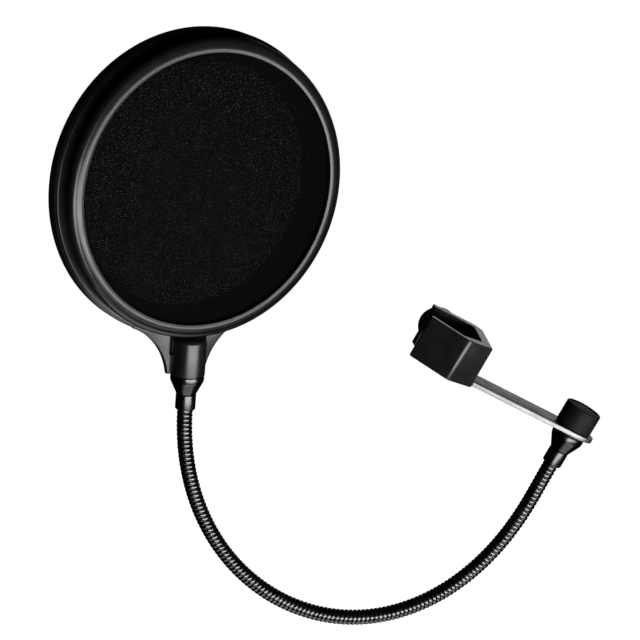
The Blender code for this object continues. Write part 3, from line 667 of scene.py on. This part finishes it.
def build_hoop_rings():
    spacer = rounded([
        (SPACER_INNER_R, FRONT_BACK + GAP, 0.3 * MM),
        (SPACER_INNER_R, REAR_FRONT - GAP, 0.3 * MM),
        (SPACER_OUTER_R, REAR_FRONT - GAP, 0.3 * MM),
        (SPACER_OUTER_R, FRONT_BACK + GAP, 0.3 * MM),
    ])
    dress(lathe("spacer_band", spacer, HOOP, ROUND), "hoop", "head", "hoop_plastic", "spacer_ring")
    ring_front = REAR_SCREEN_DEPTH + 0.55 * MM
    ring_back = REAR_BACK - 0.8 * MM
    seat = REAR_WALL_R - GAP
    step_r = seat - 3.5 * MM
    rear = rounded([
        (REAR_INNER_R + 0.4 * MM, ring_front, 0.3 * MM),
        (REAR_INNER_R + 0.4 * MM, ring_back, 1.4 * MM),
        (step_r, ring_back, 0.3 * MM),
        (step_r, ring_back - 0.8 * MM, 0.3 * MM),
        (seat, ring_back - 0.8 * MM, 0.4 * MM),
        (seat, ring_front, 0.3 * MM),
    ], 5)
    # the rear ring takes the same lip plastic, painted lighter as painted sheen
    dress(lathe("rear_lip", rear, HOOP, ROUND), "lip", "head", "lip_plastic", "rear_retaining_ring")


# ---------------------------------------------------------------- fittings

def build_fitting(prefix, place, top, sleeve_foot, stud_top, body, nodes):
    """Collar, cone with its stud, and sleeve, hung below a height on the place's Z."""
    collar_foot = top - COLLAR_HEIGHT
    cone_top = collar_foot - GAP
    cone_foot = cone_top - CONE_HEIGHT
    collar = rounded([
        (STUD_R + GAP, collar_foot, 0.2 * MM),
        (COLLAR_R, collar_foot, 0.3 * MM),
        (COLLAR_R, top, 0.3 * MM),
        (STUD_R + GAP, top, 0.2 * MM),
    ], 5)
    dress(lathe(prefix + "_collar_ring", collar, place), "chrome", body, "black_chrome", nodes[0])
    flare = [
        (0.0, cone_foot),
        *rounded([
            (SLEEVE_R - 1.0 * MM, cone_foot),
            (SLEEVE_R, cone_foot, 0.3 * MM),
            (COLLAR_R - 0.2 * MM, cone_top - 0.3 * MM, 0.3 * MM),
            (COLLAR_R - 0.2 * MM, cone_top, 0.1 * MM),
            (STUD_R, cone_top),
            (STUD_R, stud_top, 0.5 * MM),
            (STUD_R - 1.5 * MM, stud_top),
        ], 5),
        (0.0, stud_top),
    ]
    dress(lathe(prefix + "_cone", flare, place), "chrome", body, "black_chrome", nodes[1])
    sleeve = [
        (0.0, sleeve_foot),
        *rounded([
            (SLEEVE_R - 2.0 * MM, sleeve_foot),
            (SLEEVE_R, sleeve_foot, 0.7 * MM),
            (SLEEVE_R, cone_foot - GAP, 0.4 * MM),
            (SLEEVE_R - 1.0 * MM, cone_foot - GAP),
        ], 5),
        (0.0, cone_foot - GAP),
    ]
    dress(lathe(prefix + "_ferrule", sleeve, place), "chrome", body, "black_chrome", nodes[2])


def curvature(distance):
    """Bend of the gooseneck in radians per metre, linear between its knots."""
    return math.radians(float(np.interp(distance, BEND_KNOTS, BEND_DEG_PER_MM))) / MM


def gooseneck_route(steps=640):
    """Points and headings from the neck's sleeve to the clamp's, heading 0 being straight down."""
    step = GOOSENECK_LENGTH / steps
    x, z, heading = NECK_FOOT.x, NECK_FOOT.z, 0.0
    route = [(x, z, heading)]
    for index in range(steps):
        turn = curvature((index + 0.5) * step) * step
        middle = heading + turn / 2.0
        x += math.sin(middle) * step
        z -= math.cos(middle) * step
        heading += turn
        route.append((x, z, heading))
    return np.array(route)


ROUTE = gooseneck_route()
ROUTE_AT = np.linspace(0.0, GOOSENECK_LENGTH, len(ROUTE))


def gooseneck_station(distance):
    """Centre of the gooseneck and the two axes of its section, at a distance from the neck's sleeve."""
    x, z, heading = (float(np.interp(distance, ROUTE_AT, ROUTE[:, column])) for column in range(3))
    return (x, 0.0, z), (math.cos(heading), 0.0, math.sin(heading)), (0.0, 1.0, 0.0)


def bead(phase):
    """Radius of the wound wire: a round bead with a narrow groove between two turns."""
    across = np.abs(2.0 * phase - 1.0)
    return GOOSENECK_R - BEAD_DEPTH * (1.0 - np.sqrt(np.maximum(1.0 - across ** 2.4, 0.0)))


def build_gooseneck():
    """One tube from sleeve to sleeve, in stretches between the middles of two links, with a half link at each
    end;
    only the two end stretches are hung on bodies, the swivel and the last link."""
    pitch = GOOSENECK_LENGTH / LINKS
    bodies = ["swivel"] + [f"link_{number:02d}" for number in range(2, LINKS + 1)]
    for number in range(LINKS + 1):
        far = GOOSENECK_LENGTH - max(0.0, number - 0.5) * pitch
        near = GOOSENECK_LENGTH - min(LINKS, number + 0.5) * pitch
        piece = wound_tube(f"gooseneck_tube_{number:02d}", gooseneck_station, near, far, bead, BEAD_PITCH,
                           TURN_RINGS, TUBE_SIDES)
        nodes = [f"gooseneck_link_{number + 1:02d}"] if number < LINKS else []
        if number in (0, LINKS):
            dress(piece, "gooseneck", bodies[min(number, LINKS - 1)], "gooseneck_steel", *nodes)
            continue
        dress(piece, "gooseneck", None, "gooseneck_steel", *nodes)
        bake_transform(piece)


# ---------------------------------------------------------------- arm, knobs and clamp

def clamp_outline():
    run = (math.cos(JAW_ANGLE), math.sin(JAW_ANGLE))
    tip = (JAW_APEX[0] - run[0] * JAW_WING, JAW_APEX[1] + run[1] * JAW_WING)
    rise = math.tan(JAW_ANGLE)
    inner_u = tip[0] + 1.2 * MM
    return rounded([
        (JAW_APEX[0], JAW_APEX[1], 3.0 * MM),
        (WEB_OUTER_U, JAW_APEX[1] + (WEB_OUTER_U - JAW_APEX[0]) * rise, 0.7 * MM),
        (WEB_OUTER_U, REAR_ARM_V[1], 7.0 * MM),
        (REAR_ARM_END_U, REAR_ARM_V[1], 1.2 * MM),
        (REAR_ARM_END_U, REAR_ARM_V[0], 0.8 * MM),
        (WEB_INNER_U, REAR_ARM_V[0], 2.0 * MM),
        (WEB_INNER_U, NOTCH_V + WEB_INNER_U * rise, 0.5 * MM),
        (0.0, NOTCH_V, 0.5 * MM),
        (inner_u, NOTCH_V - inner_u * rise, 0.4 * MM),
        (tip[0], tip[1] + 2.4 * MM, 0.3 * MM),
        (tip[0], tip[1], 0.6 * MM),
    ], 8)


def build_clamp():
    body = slab("clamp_shell", clamp_outline(), -HALF_HEIGHT, HALF_HEIGHT, 0.45 * MM, CLAMP)
    screw_axis = CLAMP @ Matrix.Translation((SCREW_U, 0.0, 0.0)) @ TURN_TO_Y
    combine(body, plug(SCREW_R + GAP, REAR_ARM_V[0] - MM, REAR_ARM_V[1] + MM, screw_axis), "DIFFERENCE")
    nut_depth = 4.5 * MM
    nut_r = 6.2 * MM
    pocket = plug(nut_r + GAP, REAR_ARM_V[0] - MM, REAR_ARM_V[0] + nut_depth + GAP, screw_axis, 6)
    combine(body, pocket, "DIFFERENCE")
    half = ARM_NECK_HALF + GAP
    slot = [
        (WEB_INNER_U - MM, -half),
        (WEB_OUTER_U + MM, -half),
        (WEB_OUTER_U + MM, half),
        (WEB_INNER_U - MM, half),
    ]
    slot_top = ARM_LOW + ARM_THICKNESS + GAP
    combine(body, slab("cutter", slot, -HALF_HEIGHT - MM, slot_top, 0.05 * MM, CLAMP), "DIFFERENCE")
    dress(body, "clamp", "clamp", "clamp_plastic", "clamp_body")
    nut = lathe("hex_nut", [
        (0.0, REAR_ARM_V[0]),
        (nut_r - 0.6 * MM, REAR_ARM_V[0]),
        (nut_r, REAR_ARM_V[0] + 0.4 * MM),
        (nut_r, REAR_ARM_V[0] + nut_depth),
        (0.0, REAR_ARM_V[0] + nut_depth),
    ], screw_axis, 6)
    combine(nut, plug(SCREW_R + 0.1 * MM, REAR_ARM_V[0] - MM, REAR_ARM_V[1], screw_axis), "DIFFERENCE")
    dress(nut, "zinc", "clamp", "nut_steel", "clamp_nut")
    build_liner()


def build_liner():
    """Rubber in the V jaw, ribbed along the stand tube."""
    run = 8.6 * MM
    thickness = 1.2 * MM
    rise = math.tan(JAW_ANGLE)
    lift = GAP / math.cos(JAW_ANGLE)
    full = lift + thickness / math.cos(JAW_ANGLE)
    ribs = 5
    groove_depth = 0.25 * MM
    lower = [
        (-run, NOTCH_V + lift + run * rise),
        (0.0, NOTCH_V + lift),
        (run, NOTCH_V + lift + run * rise),
    ]
    upper = []
    for step in range(-4 * ribs, 4 * ribs + 1):
        u = (run - thickness) * step / (4 * ribs)
        groove = groove_depth * (0.5 - 0.5 * math.cos(math.pi / 2.0 * step))
        upper.append((u, NOTCH_V + full - groove + abs(u) * rise))
    half_length = HALF_HEIGHT - 1.5 * MM
    made = slab("jaw_liner", lower + upper[::-1], -half_length, half_length, 0.1 * MM, CLAMP)
    dress(made, "rubber", "clamp", "liner_rubber", "v_jaw_liner")


def build_arm():
    """Flat steel arm with a round end, shoulders at the clamp, and a tab that turns up inside it."""
    high = ARM_LOW + ARM_THICKNESS
    shoulder = WEB_OUTER_U + GAP
    tab_outer = WEB_INNER_U - GAP
    tab_inner = tab_outer - ARM_THICKNESS
    outline = arc((SWIVEL_U + ARM_END_OVERHANG, 0.0), ARM_HALF, -90.0, 90.0, 40)
    outline += rounded([
        (SWIVEL_U - MM, ARM_HALF),
        (shoulder, ARM_HALF, 0.8 * MM),
        (shoulder, ARM_NECK_HALF),
        (tab_inner, ARM_NECK_HALF),
        (tab_inner, -ARM_NECK_HALF),
        (shoulder, -ARM_NECK_HALF),
        (shoulder, -ARM_HALF, 0.8 * MM),
        (SWIVEL_U - MM, -ARM_HALF),
    ])
    bar = slab("arm_plate", outline, ARM_LOW, high, 0.3 * MM, CLAMP)
    tab = rounded([
        (-ARM_NECK_HALF, ARM_LOW + 0.6 * MM),
        (ARM_NECK_HALF, ARM_LOW + 0.6 * MM),
        (ARM_NECK_HALF, TAB_TOP, 2.0 * MM),
        (-ARM_NECK_HALF, TAB_TOP, 2.0 * MM),
    ])
    upright = CLAMP @ axes_matrix(AWAY, UP, Vector((1.0, 0.0, 0.0)), Vector((0.0, 0.0, 0.0)))
    combine(bar, slab("cutter", tab, tab_inner, tab_outer, 0.25 * MM, upright), "UNION")
    stud_place = SWIVEL @ Matrix.Translation((0, 0, -ARM_LOW))
    combine(bar, plug(STUD_R + GAP, ARM_LOW - MM, high + MM, stud_place), "DIFFERENCE")
    screw_w = ARM_LOW + TAB_SCREW_RISE
    for number, side in ((1, -1.0), (2, 1.0)):
        spot = Matrix.Translation((0.0, side * TAB_SCREW_V, screw_w))
        seat = CLAMP @ spot @ Matrix.Rotation(math.pi / 2.0, 4, "Y")
        combine(bar, plug(TAB_HOLE_R, tab_inner - MM, tab_outer + MM, seat), "DIFFERENCE")
        build_socket_screw(number, seat, tab_inner - GAP)
    dress(bar, "bar", "clamp", "arm_steel", "arm_bar")


def build_socket_screw(number, seat, head_back):
    """Button-head screw with a hexagon socket, through the arm's tab."""
    head_front = head_back - 1.6 * MM
    head_r = 2.6 * MM
    dome = 1.2 * MM
    shaft_r = 1.5 * MM
    tip = WEB_OUTER_U - 1.5 * MM
    profile = [(0.0, head_front)]
    for step in range(7):
        angle = math.pi / 2.0 * step / 6
        radius = head_r - 1.0 * MM + 1.0 * MM * math.sin(angle)
        profile.append((radius, head_front + dome * (1.0 - math.cos(angle))))
    profile += [
        (head_r, head_back),
        (shaft_r, head_back),
        (shaft_r, tip - 0.4 * MM),
        (shaft_r - 0.4 * MM, tip),
    ]
    made = lathe(f"socket_screw_{number}", profile + [(0.0, tip)], seat, 48)
    socket_r = 1.15 * MM
    combine(made, plug(socket_r, head_front - MM, head_front + 1.0 * MM, seat, 6), "DIFFERENCE")
    dress(made, "zinc", "clamp", "nut_steel", f"bar_screw_{number}")


def build_knob(name, radius, low, high, underside, place):
    """A plain matte cylinder with a crisp rim, over the outline of its hollow underside."""
    side = rounded([
        (radius - 0.9 * MM, low),
        (radius, low, 0.7 * MM),
        (radius, high, 0.7 * MM),
        (radius - 1.6 * MM, high, 0.3 * MM),
        (radius - 2.0 * MM, high - 0.3 * MM, 0.3 * MM),
    ], 6)
    profile = [(0.0, underside[0][1]), *underside, *side, (0.0, high - 0.3 * MM)]
    return lathe(name, profile, place, 2 * SMALL_ROUND)


def build_arm_knob():
    low = ARM_THICKNESS + GAP
    washer_top = low + 0.8 * MM
    insert_top = washer_top + GAP + 7.5 * MM
    bore = INSERT_HOLE_R
    skirt = KNOB_WASHER_R + GAP
    underside = [
        (bore, insert_top + GAP),
        (bore, washer_top + GAP),
        (skirt, washer_top + GAP),
        (skirt, low),
    ]
    knob = build_knob("knob_cap", ARM_KNOB_R, low, ARM_THICKNESS + ARM_KNOB_TOP, underside, SWIVEL)
    dress(knob, "knob", "arm_knob", "knob_plastic", "arm_knob")


def build_presser():
    """Pad, its rubber face, the threaded screw and the clamp's knob."""
    half_u, half_w = 8.0 * MM, 9.0 * MM
    place = CLAMP @ Matrix.Translation((SCREW_U, 0.0, 0.0)) @ Matrix.Rotation(math.pi / 2.0, 4, "X")
    face = 8.0 * MM
    rubber_back = face - 1.6 * MM
    pad_front = rubber_back - GAP
    pad_back = pad_front - 5.0 * MM
    corner = 1.5 * MM
    plate = rounded([
        (-half_u, -half_w, corner),
        (half_u, -half_w, corner),
        (half_u, half_w, corner),
        (-half_u, half_w, corner),
    ], 6)
    rubber = slab("pad_face", plate, rubber_back, face, 0.5 * MM, place)
    dress(rubber, "rubber", "presser", "liner_rubber", "pressure_pad_rubber")
    pad = slab("pad_plate", plate, pad_back, pad_front, 0.8 * MM, place)
    combine(pad, plug(SCREW_R + GAP, pad_back - MM, pad_front - 1.3 * MM, place), "DIFFERENCE")
    dress(pad, "clamp", "presser", "clamp_plastic", "pressure_pad")
    axis = CLAMP @ Matrix.Translation((SCREW_U, 0.0, 0.0))
    back = REAR_ARM_V[1] + 9.0 * MM

    def station(distance):
        center = axis @ Vector((0.0, distance, 0.0))
        return tuple(center), tuple(ARM_ALONG), tuple(ARM_UP)

    def thread(phase):
        return SCREW_R - THREAD_DEPTH * np.clip(np.abs(2.0 * phase - 1.0) * 1.3 - 0.15, 0.0, 1.0)

    tip = -(pad_front - 1.6 * MM)
    screw = wound_tube("threaded_screw", station, tip, back, thread, THREAD_PITCH, TURN_RINGS, TUBE_SIDES)
    soften(screw, 25.0)
    dress(screw, "zinc", "clamp_screw", "clamp_screw_steel", "clamp_screw")
    low = REAR_ARM_V[1] + 1.0 * MM
    bore = SCREW_R + GAP
    underside = [(bore, back + GAP), (bore, low)]
    knob = build_knob("clamp_knob_cap", CLAMP_KNOB_R, low, low + 10.0 * MM, underside, axis @ TURN_TO_Y)
    dress(knob, "knob", "clamp_screw", "knob_plastic", "clamp_knob")


# ---------------------------------------------------------------- studio

AIM = HEAD_CENTER + Vector((67.6 * MM, 0.3 * MM, -68.6 * MM))
CAMERA_DISTANCE = 1.2
CAMERA_AZIMUTH = math.radians(-6.603)
CAMERA_ELEVATION = math.radians(16.420)
CAMERA_ROLL = math.radians(4.786)
FLOOR_DROP = 0.45


def direction(azimuth, elevation):
    """From the object towards a place in the studio: azimuth 0 is the front, 90 the clamp's side."""
    level = math.cos(elevation)
    return Vector((math.sin(azimuth) * level, -math.cos(azimuth) * level, math.sin(elevation)))


def build_camera():
    back = direction(CAMERA_AZIMUTH, CAMERA_ELEVATION)
    level_right = UP.cross(back).normalized()
    level_up = back.cross(level_right)
    right = level_right * math.cos(CAMERA_ROLL) + level_up * math.sin(CAMERA_ROLL)
    data = bpy.data.cameras.new("camera")
    data.lens = 128.6
    data.sensor_width = 36.0
    camera = bpy.data.objects.new("camera", data)
    camera.matrix_world = axes_matrix(right, back.cross(right), back, AIM + back * CAMERA_DISTANCE)
    bpy.context.scene.collection.objects.link(camera)
    bpy.context.scene.camera = camera


def softbox(name, azimuth_deg, elevation_deg, distance, width, height, power):
    toward = direction(math.radians(azimuth_deg), math.radians(elevation_deg))
    data = bpy.data.lights.new(name, "AREA")
    data.shape = "RECTANGLE"
    data.size = width
    data.size_y = height
    data.energy = power
    lamp = bpy.data.objects.new(name, data)
    lamp.location = AIM + toward * distance
    lamp.rotation_euler = toward.to_track_quat("Z", "Y").to_euler()
    bpy.context.scene.collection.objects.link(lamp)
    lamp.visible_camera = False


def build_studio():
    softbox("key", 24.0, -15.0, 1.5, 1.9, 0.5, 33.0)
    softbox("bounce", 20.0, -78.0, 1.0, 0.8, 0.8, 3.5)
    softbox("rim", 152.0, 5.0, 1.8, 1.0, 0.6, 1.5)
    world = bpy.data.worlds.new("studio")
    world.use_nodes = True
    tree = world.node_tree
    seen = tree.nodes["Background"]
    seen.inputs["Color"].default_value = (1.0, 1.0, 1.0, 1.0)
    dim = add_node(tree, "ShaderNodeBackground", Color=(0.008, 0.008, 0.008, 1.0))
    path = add_node(tree, "ShaderNodeLightPath")
    mix = add_node(tree, "ShaderNodeMixShader")
    tree.links.new(path.outputs["Is Camera Ray"], mix.inputs[0])
    tree.links.new(dim.outputs[0], mix.inputs[1])
    tree.links.new(seen.outputs[0], mix.inputs[2])
    tree.links.new(mix.outputs[0], tree.nodes["World Output"].inputs["Surface"])
    bpy.context.scene.world = world
    reach = 30.0
    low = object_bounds()[0].z - FLOOR_DROP
    corners = [(-reach, -reach, low), (reach, -reach, low), (reach, reach, low), (-reach, reach, low)]
    mesh = bpy.data.meshes.new("floor")
    mesh.from_pydata(corners, [], [(0, 1, 2, 3)])
    floor = bpy.data.objects.new("floor", mesh)
    bpy.context.scene.collection.objects.link(floor)
    pale = bpy.data.materials.new("pale_floor")
    pale.use_nodes = True
    shader = pale.node_tree.nodes["Principled BSDF"]
    shader.inputs["Base Color"].default_value = (0.8, 0.8, 0.8, 1.0)
    shader.inputs["Emission Color"].default_value = (1.0, 1.0, 1.0, 1.0)
    shader.inputs["Emission Strength"].default_value = 1.0
    mesh.materials.append(pale)
    floor.visible_diffuse = False
    floor.visible_glossy = False
    bpy.context.scene.view_settings.view_transform = "Standard"


build_camera()
build_front_hoop()
build_screen("front_knit", FRONT_SCREEN_R, FRONT_SCREEN_DEPTH, "front_screen")
build_screen("rear_knit", REAR_SCREEN_R, REAR_SCREEN_DEPTH, "rear_screen")
build_hoop_rings()
build_rear_hoop()
build_fitting("neck", HEAD, -BOSS_FOOT - GAP, -RING_RISE, -BOSS_FOOT + 10.5 * MM, "link_10",
              ("neck_collar", "head_fitting", "head_sleeve"))
build_fitting("arm", SWIVEL, -WASHER_FOOT, -FITTING_LENGTH, ARM_STUD_TOP, "swivel",
              ("arm_collar", "arm_fitting", "arm_sleeve"))
build_gooseneck()
build_clamp()
build_arm()
build_arm_knob()
build_presser()
for node, look in CAD_LOOKS.items():
    cad_mesh = frame["nodes"][node].data
    cad_mesh.materials.clear()
    cad_mesh.materials.append(LOOKS[look])
build_studio()
